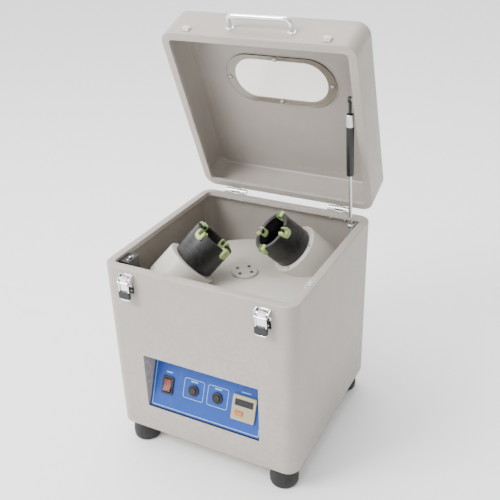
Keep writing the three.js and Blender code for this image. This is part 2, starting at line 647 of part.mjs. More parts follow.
function strutBracketCase() {
  const { t, w, h } = BRACKET;
  const x1 = CASE.w / 2 - CASE.wall - GAP;
  const plateX = STRUT.x + STRUT.eyeT / 2 + STRUT_CASE.air;
  const y = strutFoot.x;
  const low = strutFoot.y - h;
  const top = rimZ - CASE.wall - GAP;
  const wallLeg = block(x1 - t, x1, y - w / 2, y + w / 2, low, top);
  const shelf = block(plateX, x1, y - w / 2, y + w / 2, low, low + t);
  const ear = block(plateX, plateX + t, y - w / 2, y + w / 2, low, top);
  const studX = STRUT.x - STRUT.eyeT / 2 - STRUT_CASE.past;
  const stud = rodX(STRUT.studR, studX, plateX + BITE, y, strutFoot.y, EYE);
  return part('strut_bracket_case', join(wallLeg, shelf, ear, stud), steel);
}

function strutBracketLid() {
  const { t, w, h, below } = BRACKET;
  const x1 = CASE.w / 2 - CASE.wall - GAP;
  const plateX = STRUT.x + STRUT_LID.plateOut;
  const { y } = STRUT_LID;
  const low = rimZ + STRUT_LID.up - below;
  const top = low + h;
  const wallLeg = block(x1 - t, x1, y - w / 2, y + w / 2, low, top);
  const shelf = block(plateX, x1, y - w / 2, y + w / 2, top - t, top);
  const ear = block(plateX, plateX + t, y - w / 2, y + w / 2, low, top);
  return part('strut_bracket_lid', join(wallLeg, shelf, ear), steel);
}

// ---------------------------------------------------------------- lid switch in the front left corner
function lidSwitch() {
  const { x, y, w, d, h, pinR, pinIn, pinLow, travel, air } = SWITCH;
  const x0 = -CASE.w / 2 + CASE.wall + GAP;
  const body = block(x0, -x + w / 2, y - d / 2, y + d / 2, switchTop - h, switchTop);
  const well = rod(pinR + RUN, switchTop - pinLow - travel - air, switchTop + CUT).translate(pinIn - x, y, 0);
  return part('lid_switch', cut(body, well), blackPlastic);
}

function switchPlunger() {
  const { x, y, pinR, pinIn, pinUp, pinLow } = SWITCH;
  const pin = turned([
    [0, -pinLow], [pinR, -pinLow], [pinR, pinUp - CHAMFER], [pinR - CHAMFER, pinUp], [0, pinUp]]);
  const mesh = part('switch_plunger', pin, steel);
  mesh.position.set(pinIn - x, y, switchTop);
  return mesh;
}

// ---------------------------------------------------------------- gears
// outline of a straight-flanked spur gear
function gearShape(teeth, tip, root, rotate) {
  const step = 2 * Math.PI / teeth;
  const atRoot = step * GEAR.rootShare;
  const atTip = step * GEAR.tipShare;
  const points = [];
  for (let i = 0; i < teeth; i += 1) {
    const a = i * step + rotate;
    [[root, -atRoot], [tip, -atTip], [tip, atTip], [root, atRoot]].forEach(([r, da]) => {
      points.push(new THREE.Vector2(r * Math.cos(a + da), r * Math.sin(a + da)));
    });
  }
  return new THREE.Shape(points);
}

function spur(teeth, z0, z1, rotate) {
  const pitchR = GEAR.module * teeth / 2;
  const tip = pitchR + GEAR.tip * GEAR.module;
  const root = pitchR - GEAR.root * GEAR.module;
  return slab(gearShape(teeth, tip, root, rotate), z0, z1);
}

// a straight bevel gear: its tooth outline shrinks towards the apex at height 0, face from -slant up
function bevel(slant, face, rotate) {
  const pitch = CUP.tilt / 2;
  const tip = slant * Math.tan(pitch + BEVEL.tip);
  const root = slant * Math.tan(pitch - BEVEL.root);
  const g = slab(gearShape(BEVEL.teeth, tip, root, rotate), 0, face);
  const p = g.attributes.position;
  for (let i = 0; i < p.count; i += 1) {
    const k = 1 - p.getZ(i) / slant;
    p.setXYZ(i, p.getX(i) * k, p.getY(i) * k, p.getZ(i) - slant);
  }
  return g;
}

// ---------------------------------------------------------------- rotor, its arm along local X
function rotorBody() {
  const { r, wall, len, top, below } = HOUSING;
  const sides = [0, Math.PI];
  const tilted = (g, a) => g.rotateY(-CUP.tilt).translate(CUP.baseR, 0, rimZ - CUP.baseDrop).rotateZ(a);
  const onIdler = (g, a) => g.translate(idlerAxis, 0, 0).rotateZ(a);
  const disc = rod(ROTOR.discR, discUnder, discZ, DISC_SIDES);
  const boss = rod(ROTOR.hubR, discUnder - ROTOR.bossDown, discUnder + BITE);
  const shells = sides.map((a) => tilted(rod(r, -len, -GAP, CUP_SIDES), a));
  const hollows = sides.map((a) => tilted(rod(r - wall, -len - below, -top, CUP_SIDES), a));
  const bores = sides.map((a) => tilted(rod(PLANET.shaftR + RUN, -top - CUT, CUT), a));
  const swept = idlerR + GEAR.module + IDLER.room;
  const ceiling = bevelTopZ + IDLER.over;
  const gearRooms = sides.map((a) => onIdler(rod(swept, sunZ - IDLER.under, ceiling), a));
  const bosses = sides.map((a) => onIdler(rod(IDLER.bossR, ceiling, discUnder + BITE), a));
  const idlerBores = sides.map((a) => onIdler(rod(IDLER.shaftR + RUN, bevelTopZ, discZ + CUT), a));
  const mainBore = rod(SHAFT.r + GAP, discUnder - ROTOR.bossDown - CUT, discZ + CUT);
  const pots = cut(join(...shells), ...hollows, ...bores, ...gearRooms);
  const pierced = cut(disc, ...hollows);
  return part('rotor_body', cut(join(pierced, boss, pots, ...bosses), mainBore, ...idlerBores), offWhite);
}

function mainShaft() {
  const { r } = SHAFT;
  const low = DRIVE.z - SHAFT.below;
  const seat = discZ + GAP;
  const top = seat + ROTOR.hubT;
  const profile = [
    [0, low], [r - CHAMFER, low], [r, low + CHAMFER], [r, seat], [ROTOR.hubR, seat],
    [ROTOR.hubR, top - CHAMFER], [ROTOR.hubR - CHAMFER, top], [0, top]];
  return part('main_shaft', turned(profile), steel);
}

function notchAngles() {
  return Array.from({ length: NOTCH.count }, (_, i) => NOTCH.turn + i * 2 * Math.PI / NOTCH.count);
}

function cupHolder(name) {
  const { r, len, floor, edge } = CUP;
  const shell = turned([
    [0, GAP], [r - edge, GAP], [r, edge], [r, len], [cupBore, len], [cupBore, floor], [0, floor]], CUP_SIDES);
  const notches = notchAngles().map((a) => block(
    0, r + CUT, -NOTCH.w / 2, NOTCH.w / 2, len - NOTCH.depth, len + CUT).rotateZ(a));
  return part(name, cut(shell, ...notches), blackPlastic);
}

// a ring lining the cup's mouth, with a slotted lug in each notch
function cupGrip(name) {
  const { r, len } = CUP;
  const { w, t, depth, proud, sunk, lugBite, lugFloor, slotFloor } = GRIP;
  const inside = cupBore - t;
  const z0 = len - depth;
  const z1 = len - sunk;
  const ring = turned(
    [[inside, z0], [cupBore - GAP, z0], [cupBore - GAP, z1], [inside, z1], [inside, z0]], CUP_SIDES);
  const notchFloor = len - NOTCH.depth;
  const lugs = notchAngles().map((a) => cut(
    block(inside + lugBite, r + proud, -w / 2, w / 2, notchFloor + lugFloor, len + proud),
    block(inside, r + proud + CUT, -w / 4, w / 4, notchFloor + slotFloor, len + proud + CUT)).rotateZ(a));
  return part(name, join(ring, ...lugs), green);
}

function planetGear(name) {
  const { shaftR, slantOut, face, collar, collarDown, stub } = PLANET;
  const back = baseSlant - slantOut;
  const gear = bevel(slantOut, face, Math.PI / BEVEL.teeth).translate(0, 0, baseSlant);
  const shaft = rod(shaftR, back - stub, 0);
  const shoulder = rod(shaftR + collar, back + face - BITE, -HOUSING.top - collarDown);
  return part(name, join(gear, shaft, shoulder), darkSteel);
}

function idlerGear(name) {
  const top = sunZ + IDLER.spurT;
  const teeth = spur(GEAR.idler, sunZ, top, Math.PI / GEAR.idler);
  const neck = rod(IDLER.neckR, top - BITE, bevelZ + BITE);
  const cone = bevel(PLANET.slantOut, PLANET.face, 0).translate(0, 0, apexZ);
  const axle = rod(IDLER.shaftR, bevelTopZ - BITE, discZ - IDLER.sunk);
  const mesh = part(name, join(teeth, neck, cone, axle), darkSteel);
  mesh.position.x = idlerAxis;
  return mesh;
}

function armGroup(number, angle) {
  const arm = new THREE.Group();
  arm.rotation.z = angle;
  const cup = new THREE.Group();
  cup.position.set(CUP.baseR, 0, rimZ - CUP.baseDrop);
  cup.rotation.y = -CUP.tilt;
  cup.add(cupHolder(`cup_holder_${number}`), cupGrip(`cup_grip_${number}`));
  cup.add(planetGear(`planet_gear_${number}`));
  arm.add(cup, idlerGear(`idler_gear_${number}`));
  return arm;
}

function rotorGroup() {
  const group = new THREE.Group();
  group.rotation.z = ROTOR.angle;
  group.add(rotorBody(), mainShaft(), mainPulley(), armGroup(1, 0), armGroup(2, Math.PI));
  return group;
}

function sunGear() {
  const top = sunZ + IDLER.spurT;
  const bore = rod(SHAFT.r + SUN.air, sunZ - CUT, top + CUT);
  const mesh = part('sun_gear', cut(spur(GEAR.sun, sunZ, top, 0), bore), darkSteel);
  mesh.rotation.z = ROTOR.angle;
  return mesh;
}

// ---------------------------------------------------------------- spindle and drive
function spindleHousing() {
  const { r, flangeR, flangeT, bottom } = SPINDLE;
  const inner = BEARING.r + GAP;
  const under = deckZ - DECK.t - GAP;
  const top = sunZ - GAP;
  const profile = [
    [inner, bottom], [r, bottom], [r, under - flangeT], [flangeR, under - flangeT], [flangeR, under],
    [r, under], [r, top], [inner, top], [inner, bottom]];
  return part('spindle_housing', turned(profile), steel);
}

// a cartridge: two bearing races joined by a thinner spacer sleeve
function bearingCartridge() {
  const { r, race, seat, waist } = BEARING;
  const bore = SHAFT.r + RUN;
  const z0 = SPINDLE.bottom + seat;
  const z1 = sunZ - GAP - seat;
  const profile = [[bore, z0], [r, z0], [r, z0 + race], [r - waist, z0 + race], [r - waist, z1 - race],
    [r, z1 - race], [r, z1], [bore, z1], [bore, z0]];
  return part('bearing_cartridge', turned(profile), darkSteel);
}

function pulleyProfile(r, hub) {
  const { z, h, lip, beltH, side } = DRIVE;
  const cheek = (h - beltH) / 2 - side;
  return [
    [hub, z], [r + lip, z], [r + lip, z + cheek], [r, z + cheek], [r, z + h - cheek],
    [r + lip, z + h - cheek], [r + lip, z + h], [hub, z + h], [hub, z]];
}

function mainPulley() {
  const { rMain, z, h, webs, webR, webAt } = DRIVE;
  const wheel = turned(pulleyProfile(rMain, SHAFT.r + GAP), CUP_SIDES);
  const holes = Array.from({ length: webs }, (_, i) => rod(webR, z - CUT, z + h + CUT, PIN)
    .translate(webAt, 0, 0).rotateZ(i * 2 * Math.PI / webs));
  return part('main_pulley', cut(wheel, ...holes), steel);
}

function motorPulley() {
  const wheel = turned(pulleyProfile(DRIVE.rMotor, MOTOR.shaftR - BITE));
  const shaft = rod(MOTOR.shaftR, motorTop + MOTOR.air, DRIVE.z + DRIVE.h + MOTOR.past);
  const mesh = part('motor_pulley', join(wheel, shaft), steel);
  mesh.position.y = MOTOR.y;
  return mesh;
}

// outline round two unequal pulleys at a given distance from their faces
function beltOutline(extra, path) {
  const a = DRIVE.rMain + extra;
  const b = DRIVE.rMotor + extra;
  const tangent = Math.asin((a - b) / MOTOR.y);
  path.absarc(0, 0, a, Math.PI - tangent, 2 * Math.PI + tangent);
  path.absarc(0, MOTOR.y, b, tangent, Math.PI - tangent);
  path.closePath();
  return path;
}

function driveBelt() {
  const { belt, beltH, z, h } = DRIVE;
  const loop = ringShape(
    beltOutline(GAP + belt, new THREE.Shape()), beltOutline(GAP + RUN, new THREE.Path()));
  const low = z + (h - beltH) / 2;
  return part('drive_belt', slab(loop, low, low + beltH, BELT_ROUND), rubber);
}

function motorBody() {
  const { r, h, shaftR, footIn, footUp, finFrom, finPitch, finW, finDeep, boss } = MOTOR;
  const z0 = motorTop - h;
  const fins = [];
  for (let z = z0 + finFrom; z < motorTop - finFrom; z += finPitch) {
    fins.push([r - finDeep, z], [r - finDeep, z + finW], [r, z + finW], [r, z + finPitch]);
  }
  const profile = [
    [0, z0], [r - footIn, z0], [r, z0 + footUp], [r, z0 + finFrom], ...fins,
    [r, motorTop], [shaftR + boss, motorTop], [0, motorTop]];
  const mesh = part('motor_body', turned(profile, EYE), darkSteel);
  mesh.position.y = MOTOR.y;
  return mesh;
}

// a bridge over the motor, which hangs from it
function motorStand() {
  const { t, inner, front, back, toe, hole } = STAND;
  const z0 = FOOT.h + BASE.t + GAP;
  const z1 = motorTop + GAP;
  const half = inner / 2;
  const strip = (x0, x1, low, high) => block(x0, x1, MOTOR.y - front, MOTOR.y + back, low, high);
  const bridge = join(
    strip(-half - t, half + t, z1, z1 + t),
    strip(-half - t, -half, z0, z1 + t),
    strip(half, half + t, z0, z1 + t),
    strip(-half - toe, -half, z0, z0 + t),
    strip(half, half + toe, z0, z0 + t));
  const shaftHole = rod(MOTOR.shaftR + hole, z1 - CUT, z1 + t + CUT).translate(0, MOTOR.y, 0);
  return part('motor_stand', cut(bridge, shaftHole), paint);
}

function motorDriver() {
  const { x, y, w, d, h, fins, finT, finH } = DRIVER;
  const z0 = FOOT.h + BASE.t + GAP;
  const box = block(x - w / 2, x + w / 2, y - d / 2, y + d / 2, z0, z0 + h);
  const ribs = [];
  for (let i = 0; i < fins; i += 1) {
    const left = x - w / 2 + i * (w - finT) / (fins - 1);
    ribs.push(block(left, left + finT, y - d / 2, y + d / 2, z0 + h - BITE, z0 + h + finH));
  }
  return part('motor_driver', join(box, ...ribs), darkSteel);
}

// ---------------------------------------------------------------- assembly
function assemble() {
  const machine = new THREE.Group();
  machine.add(caseShell(), basePlate(), chamberDeck(), rearCover(), mainsInlet());
  machine.add(foot('foot_front_left', -1, -1), foot('foot_front_right', 1, -1));
  machine.add(foot('foot_rear_left', -1, 1), foot('foot_rear_right', 1, 1));
  machine.add(controlRecess(), panelGroup());
  machine.add(motorBody(), motorStand(), motorPulley(), driveBelt(), motorDriver());
  machine.add(spindleHousing(), sunGear());
  machine.add(bearingCartridge());
  machine.add(rotorGroup());
  machine.add(latch('left', -1), latch('right', 1));
  machine.add(strutBracketCase(), strutGroup(), lidSwitch(), switchPlunger());

  const shut = new THREE.Group();
  shut.position.set(0, -hingeY, -hingeZ);
  shut.add(lidShell(), windowPane(), lidHandle(), strutBracketLid());
  shut.add(keeper('keeper_left', -1), keeper('keeper_right', 1));
  [['left', -1], ['right', 1]].forEach(([tag, side]) => {
    const { lower, upper } = hingeParts(tag, side);
    machine.add(lower);
    shut.add(upper);
  });
  const lid = new THREE.Group();
  lid.position.set(0, hingeY, hingeZ);
  lid.rotation.x = -LID.open;
  lid.add(shut);
  machine.add(lid);
  return machine;
}

// The origin is on the floor, under the middle of the standing machine's bounding box.
const machine = assemble();
machine.updateMatrixWorld(true);
const extent = new THREE.Box3().setFromObject(machine, true);
machine.position.y = -(extent.min.y + extent.max.y) / 2;

export default machine;
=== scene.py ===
"""A two-cup planetary paste mixer on a pale studio floor. Lengths below are millimetres."""
import json
import math
import bpy
import bmesh
from mathutils import Matrix, Vector


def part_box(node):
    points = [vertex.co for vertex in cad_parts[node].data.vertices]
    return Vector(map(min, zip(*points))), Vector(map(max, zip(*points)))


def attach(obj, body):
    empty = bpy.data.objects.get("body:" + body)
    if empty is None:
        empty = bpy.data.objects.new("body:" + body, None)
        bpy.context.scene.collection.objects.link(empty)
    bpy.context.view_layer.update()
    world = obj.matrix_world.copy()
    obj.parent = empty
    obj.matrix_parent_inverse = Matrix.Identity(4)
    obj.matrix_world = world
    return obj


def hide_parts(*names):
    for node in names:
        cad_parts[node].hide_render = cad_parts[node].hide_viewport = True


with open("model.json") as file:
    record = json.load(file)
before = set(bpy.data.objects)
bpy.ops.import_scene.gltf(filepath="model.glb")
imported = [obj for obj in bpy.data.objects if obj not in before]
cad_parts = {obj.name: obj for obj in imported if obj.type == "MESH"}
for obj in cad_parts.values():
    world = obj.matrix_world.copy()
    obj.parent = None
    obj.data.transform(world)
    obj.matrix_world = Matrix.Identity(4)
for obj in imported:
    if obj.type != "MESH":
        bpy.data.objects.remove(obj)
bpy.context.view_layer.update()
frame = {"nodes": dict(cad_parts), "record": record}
record = frame["record"]
joints = {j["name"]: j for j in record["behaviour"]["joints"]}
nodes = frame["nodes"]
MM = 0.001


def box_mm(node):
    low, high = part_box(node)
    return [v / MM for v in low], [v / MM for v in high]


# ------------------------------------------------------------ the frame's main places
case_low, case_high = box_mm("case_shell")
WIDTH = case_high[0] - case_low[0]
DEPTH = case_high[1] - case_low[1]
MID_Y = (case_low[1] + case_high[1]) / 2
FLOOR_Z = case_low[2]
RIM = case_high[2]
FRONT = case_low[1]
BACK = case_high[1]
CORNER = 26                 # outer corner radius of the case and the lid
FLANGE = 17                 # width of the inward rims
RIM_LIP = 9                 # depth of the case rim's folded edge
SHEET = 1.6                 # thickness of the dressed skins
RECESS_SHEET = 1.5
LID_TALL = 81
CROWN_BORDER = 24           # how far in the lid's rounded edge piece reaches
WINDOW_Y = -53
WINDOW_SIZE = (204, 92)
PANE_SIZE = (242, 114)
HANDLE_ENDS = (-57, 69)
HINGE_X = 125               # from the middle to a hinge's middle
HINGE_SCREW = 15.5          # from there to its screws
HINGE_SCREW_DROP = 19       # and how far they lie under the rim
LEAF_FACE = 2.8             # outer face of a hinge leaf, from the wall
FOOT_R, FOOT_TALL = 29.0, 49.7
PRINT_Z, PRINT_TOP = 0.05, 0.3   # printed lines on the panel, above its face
DISC_DROP, CUP_DROP = 77, 36.4   # the rotor's disc and the cups' feet, under the rim
SHAFT_HOLE = 12.3
CUP_R, CUP_BORE, CUP_TALL = 43.75, 37, 66.5
NOTCH_TURN = 30             # degrees from a cup's outer side to its first notch
STRUT_NECK, STRUT_TUBE = 28, 130
PAINT = (0.345, 0.312, 0.28)
SKY_LEFT, SKY_RIGHT = 2.9, 0.6   # strength of the sky toward -x and +x
HINGE = [v / MM for v in joints["lid_hinge"]["pos_m"]]
OPEN = math.radians(joints["lid_hinge"]["range_deg"][1])


def turn_about(point, axis, angle):
    p = Vector(point)
    return Matrix.Translation(p) @ Matrix.Rotation(angle, 4, axis) @ Matrix.Translation(-p)


LID = turn_about(HINGE, "X", -OPEN) @ Matrix.Translation((0, MID_Y, RIM))
CASE = Matrix.Translation((0, MID_Y, 0))


def basis(x, y, z, origin):
    m = Matrix((x, y, z)).transposed().to_4x4()
    return Matrix.Translation(Vector(origin)) @ m


def panel_matrix():
    out = -Vector(joints["button_press_1"]["axis"])
    across = Vector((1, 0, 0))
    up = out.cross(across)
    low, _ = box_mm("control_panel")
    origin = (0, low[1] - up.y, low[2] - up.z + 2 * out.z)
    return basis(across, up, out, origin)


PANEL = panel_matrix()


def cup_matrix(number):
    joint = joints["cup_spin_" + number]
    axis = Vector(joint["axis"])
    centre = Vector(joint["pos_m"]) / MM
    radial = Vector((centre.x, centre.y - MID_Y, 0)).normalized()
    tangent = Vector((0, 0, 1)).cross(radial)
    return basis(tangent.cross(axis), tangent, axis, centre)


ARM = math.atan2(joints["cup_spin_1"]["pos_m"][1] / MM - MID_Y, joints["cup_spin_1"]["pos_m"][0] / MM)


# ------------------------------------------------------------ materials
def node(tree, kind, **inputs):
    n = tree.nodes.new(kind)
    for key, value in inputs.items():
        n.inputs[key.replace("_", " ")].default_value = value
    return n


def ramp(tree, source, low, high, start, stop):
    m = node(tree, "ShaderNodeMapRange")
    for key, value in zip(("From Min", "From Max", "To Min", "To Max"), (low, high, start, stop)):
        m.inputs[key].default_value = value
    tree.links.new(source, m.inputs["Value"])
    return m.outputs["Result"]


def finish(name, color, rough, metal=0.0, tone=0.10, cloud=18.0, spread=0.08, grain=900.0,
           bump=0.06, wear=0.25, worn=(0.8, 0.8, 0.8), stretch=(1, 1, 1), coat=0.0, clear=0.0):
    """A principled material whose tone, roughness and surface are all broken up by noise."""
    m = bpy.data.materials.new(name)
    m.use_nodes = True
    t = m.node_tree
    shader = t.nodes["Principled BSDF"]
    coords = node(t, "ShaderNodeTexCoord").outputs["Object"]
    mapping = node(t, "ShaderNodeMapping")
    mapping.inputs["Scale"].default_value = stretch
    t.links.new(coords, mapping.inputs["Vector"])
    noises = []
    for scale, detail in ((cloud, 4.0), (cloud * 6, 5.0), (grain, 2.0)):
        n = node(t, "ShaderNodeTexNoise", Scale=scale, Detail=detail)
        t.links.new(mapping.outputs["Vector"], n.inputs["Vector"])
        noises.append(n.outputs["Fac"])
    shades = node(t, "ShaderNodeMix")
    shades.data_type = "RGBA"
    dark = tuple(c * (1 - tone) for c in color) + (1,)
    light = tuple(min(1, c * (1 + tone * 0.6)) for c in color) + (1,)
    shades.inputs[6].default_value = dark
    shades.inputs[7].default_value = light
    t.links.new(ramp(t, noises[0], 0.3, 0.7, 0, 1), shades.inputs["Factor"])
    edge = node(t, "ShaderNodeNewGeometry").outputs["Pointiness"]
    worn_mix = node(t, "ShaderNodeMix")
    worn_mix.data_type = "RGBA"
    worn_mix.inputs[7].default_value = worn + (1,)
    t.links.new(shades.outputs[2], worn_mix.inputs[6])
    breakup = node(t, "ShaderNodeMath")
    breakup.operation = "MULTIPLY"
    t.links.new(ramp(t, edge, 0.53, 0.62, 0, wear), breakup.inputs[0])
    t.links.new(ramp(t, noises[1], 0.45, 0.6, 0, 1), breakup.inputs[1])
    t.links.new(breakup.outputs[0], worn_mix.inputs["Factor"])
    t.links.new(worn_mix.outputs[2], shader.inputs["Base Color"])
    roughness = ramp(t, noises[1], 0.3, 0.7, max(0.03, rough - spread), rough + spread)
    t.links.new(roughness, shader.inputs["Roughness"])
    shader.inputs["Metallic"].default_value = metal
    shader.inputs["Coat Weight"].default_value = coat
    shader.inputs["Transmission Weight"].default_value = clear
    relief = node(t, "ShaderNodeBump", Strength=bump, Distance=0.0004)
    t.links.new(noises[2], relief.inputs["Height"])
    t.links.new(relief.outputs["Normal"], shader.inputs["Normal"])
    return m


MATERIALS = {
    "paint": finish("paint", PAINT, 0.45, tone=0.05, bump=0.14, worn=(0.7, 0.67, 0.62)),
    "crown_paint": finish("crown_paint", PAINT, 0.45, tone=0.05, bump=0.14, wear=0.0),
    "inner_paint": finish("inner_paint", (0.50, 0.475, 0.42), 0.42, tone=0.05, bump=0.1,
                          worn=(0.5, 0.49, 0.47)),
    "panel_blue": finish("panel_blue", (0.0, 0.048, 0.3), 0.6, tone=0.08, bump=0.02, coat=0.1, wear=0.0),
    "black_plastic": finish("black_plastic", (0.004, 0.004, 0.0045), 0.42, tone=0.25, bump=0.12,
                            worn=(0.06, 0.06, 0.06)),
    "rubber": finish("rubber", (0.005, 0.005, 0.005), 0.6, tone=0.3, bump=0.25, worn=(0.06, 0.06, 0.06)),
    "chrome": finish("chrome", (0.83, 0.83, 0.85), 0.13, metal=1.0, tone=0.08, spread=0.06, bump=0.02),
    "steel": finish("steel", (0.6, 0.6, 0.61), 0.34, metal=1.0, tone=0.12, bump=0.05, stretch=(1, 1, 0.2)),
    "dark_steel": finish("dark_steel", (0.12, 0.12, 0.125), 0.45, metal=0.8, tone=0.25, bump=0.1,
                         worn=(0.45, 0.45, 0.45)),
    "green": finish("green", (0.33, 0.42, 0.16), 0.4, tone=0.12, bump=0.06, worn=(0.6, 0.7, 0.42)),
    "cream": finish("cream", (0.36, 0.31, 0.2), 0.45, tone=0.06, bump=0.1, wear=0.08),
    "orange": finish("orange", (0.5, 0.15, 0.035), 0.42, tone=0.1, bump=0.05, wear=0.05),
    "red": finish("red", (0.12, 0.008, 0.007), 0.4, tone=0.2, bump=0.03, coat=0.1, wear=0.05),
    "clear": finish("clear", (0.97, 0.95, 0.88), 0.08, tone=0.02, spread=0.03, bump=0.0, wear=0.0, clear=1.0),
}
PALE_BLUE = finish("pale_blue", (0.25, 0.5, 0.75), 0.35, tone=0.06, bump=0.02)
GLASS_BLACK = finish("glass_black", (0.004, 0.004, 0.005), 0.45, tone=0.2, bump=0.01, spread=0.05, wear=0.0)

slot_of = {s["node"]: s["material_slot"] for s in record["subparts"]}
for cad_name, cad in nodes.items():
    cad.data.materials.clear()
    cad.data.materials.append(MATERIALS[slot_of[cad_name]])


# ------------------------------------------------------------ shape helpers
def add(mesh_name, verts, faces, material, place, body, sharp=35, soften=0.0, slot=None, replaces=()):
    mesh = bpy.data.meshes.new(mesh_name)
    mesh.from_pydata([tuple(v) for v in verts], [], faces)
    bm = bmesh.new()
    bm.from_mesh(mesh)
    bmesh.ops.remove_doubles(bm, verts=bm.verts, dist=1e-4)
    bmesh.ops.recalc_face_normals(bm, faces=bm.faces)
    bm.to_mesh(mesh)
    bm.free()
    return add_mesh(mesh, mesh_name, material, place, body, sharp, soften, replaces)


def add_mesh(mesh, name, material, place, body, sharp=35, soften=0.0, replaces=()):
    mesh.transform(Matrix.Scale(MM, 4) @ place)
    mesh.shade_smooth()
    mesh.set_sharp_from_angle(angle=math.radians(sharp))
    obj = bpy.data.objects.new(name, mesh)
    bpy.context.scene.collection.objects.link(obj)
    mesh.materials.clear()
    mesh.materials.append(MATERIALS[material] if isinstance(material, str) else material)
    if soften:
        bevel(obj, soften)
    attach(obj, body)
    if replaces:
        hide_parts(*replaces)
    return obj


def bevel(obj, width, segments=2):
    b = obj.modifiers.new("edges", "BEVEL")
    b.width = width * MM
    b.segments = segments
    b.limit_method = "ANGLE"
    b.angle_limit = math.radians(35)
    b.harden_normals = True


def rounded(w, h, r, steps=10):
    """Points round a rectangle with rounded corners, anticlockwise."""
    r = max(r, 0.05)
    points = []
    for k, (sx, sy) in enumerate(((1, -1), (1, 1), (-1, 1), (-1, -1))):
        for i in range(steps + 1):
            a = math.radians(-90 + 90 * k + 90 * i / steps)
            points.append((sx * (w / 2 - r) + r * math.cos(a), sy * (h / 2 - r) + r * math.sin(a)))
    return points


def loft(rings, closed=False, capped=True):
    """Faces through rings of equally many points; a closed loft joins the last ring to the first."""
    n = len(rings[0])
    verts = [v for ring in rings for v in ring]
    faces = []
    last = len(rings) if closed else len(rings) - 1
    for k in range(last):
        a, b = k * n, ((k + 1) % len(rings)) * n
        for i in range(n):
            j = (i + 1) % n
            faces.append((a + i, a + j, b + j, b + i))
    if capped and not closed:
        faces.append(tuple(reversed(range(n))))
        faces.append(tuple(range((len(rings) - 1) * n, len(rings) * n)))
    return verts, faces


def framed(profile, w, h, r, steps=12):
    """A section of (inset, height) pairs swept round a rounded rectangle."""
    rings = [[(x, y, z) for x, y in rounded(w - 2 * d, h - 2 * d, r - d, steps)] for d, z in profile]
    return loft(rings, closed=True)


def lathe(profile, segments=64, closed=True):
    rings = []
    for r, z in profile:
        rings.append([(max(r, 1e-4) * math.cos(2 * math.pi * i / segments),
                       max(r, 1e-4) * math.sin(2 * math.pi * i / segments), z) for i in range(segments)])
    return loft(rings, closed=closed, capped=not closed)


def slab(outline, z0, z1, edge=0.4):
    """A plate with a small round edge on both faces."""
    cx = sum(p[0] for p in outline) / len(outline)
    cy = sum(p[1] for p in outline) / len(outline)
    span = max(max(abs(p[0] - cx), abs(p[1] - cy)) for p in outline)
    k = 1 - edge / span
    shrink = [(cx + (x - cx) * k, cy + (y - cy) * k) for x, y in outline]
    rings = [[(x, y, z0) for x, y in shrink], [(x, y, z0 + edge) for x, y in outline],
             [(x, y, z1 - edge) for x, y in outline], [(x, y, z1) for x, y in shrink]]
    return loft(rings)


def flat_curve(name, loops, z0, z1, edge):
    """A flat plate with holes: the first loop is the outline, the rest are holes."""
    curve = bpy.data.curves.new(name, "CURVE")
    curve.dimensions = "2D"
    curve.fill_mode = "BOTH"
    curve.extrude = (z1 - z0) / 2 - edge
    curve.bevel_depth = edge
    curve.bevel_resolution = 1
    curve.offset = -edge
    for loop in loops:
        s = curve.splines.new("POLY")
        s.points.add(len(loop) - 1)
        for p, (x, y) in zip(s.points, loop):
            p.co = (x, y, 0, 1)
        s.use_cyclic_u = True
    holder = bpy.data.objects.new(name, curve)
    bpy.context.scene.collection.objects.link(holder)
    bpy.context.view_layer.update()
    mesh = bpy.data.meshes.new_from_object(holder.evaluated_get(bpy.context.evaluated_depsgraph_get()))
    bpy.data.objects.remove(holder)
    mesh.transform(Matrix.Translation((0, 0, (z0 + z1) / 2)))
    return mesh


def rod_along(points, radius, bend=0.0, sides=16):
    """A round bar through points, with its inner corners rounded."""
    pts = [Vector(p) for p in points]
    path = [pts[0]]
    for i in range(1, len(pts) - 1):
        a = (pts[i - 1] - pts[i]).normalized() * bend
        b = (pts[i + 1] - pts[i]).normalized() * bend
        for k in range(9):
            u = k / 8
            path.append(pts[i] + a * (1 - u) ** 2 + b * u ** 2)
    path.append(pts[-1])
    rings = []
    side = None
    for i, p in enumerate(path):
        ahead = (path[min(i + 1, len(path) - 1)] - path[max(i - 1, 0)]).normalized()
        if side is None:
            side = ahead.orthogonal().normalized()
        side = (side - ahead * side.dot(ahead)).normalized()
        other = ahead.cross(side)
        angles = [2 * math.pi * k / sides for k in range(sides)]
        rings.append([p + (side * math.cos(a) + other * math.sin(a)) * radius for a in angles])
    return loft(rings)


def cuboid(x0, x1, y0, y1, z0, z1):
    verts = [(x, y, z) for z in (z0, z1) for y in (y0, y1) for x in (x0, x1)]
    faces = [(0, 2, 3, 1), (4, 5, 7, 6), (0, 1, 5, 4), (2, 6, 7, 3), (0, 4, 6, 2), (1, 3, 7, 5)]
    return verts, faces


def boolean(obj, cutter_shape, place):
    mesh = bpy.data.meshes.new("cutter")
    mesh.from_pydata([tuple(v) for v in cutter_shape[0]], [], cutter_shape[1])
    mesh.transform(Matrix.Scale(MM, 4) @ place)
    bm = bmesh.new()
    bm.from_mesh(mesh)
    bmesh.ops.recalc_face_normals(bm, faces=bm.faces)
    bm.to_mesh(mesh)
    bm.free()
    cutter = bpy.data.objects.new("cutter", mesh)
    bpy.context.scene.collection.objects.link(cutter)
    mod = obj.modifiers.new("cut", "BOOLEAN")
    mod.operation = "DIFFERENCE"
    mod.solver = "EXACT"
    mod.object = cutter
    bpy.context.view_layer.update()
    result = bpy.data.meshes.new_from_object(obj.evaluated_get(bpy.context.evaluated_depsgraph_get()))
    obj.modifiers.remove(mod)
    old = obj.data
    obj.data = result
    result.set_sharp_from_angle(angle=math.radians(35))
    bpy.data.objects.remove(cutter)
    bpy.data.meshes.remove(old)


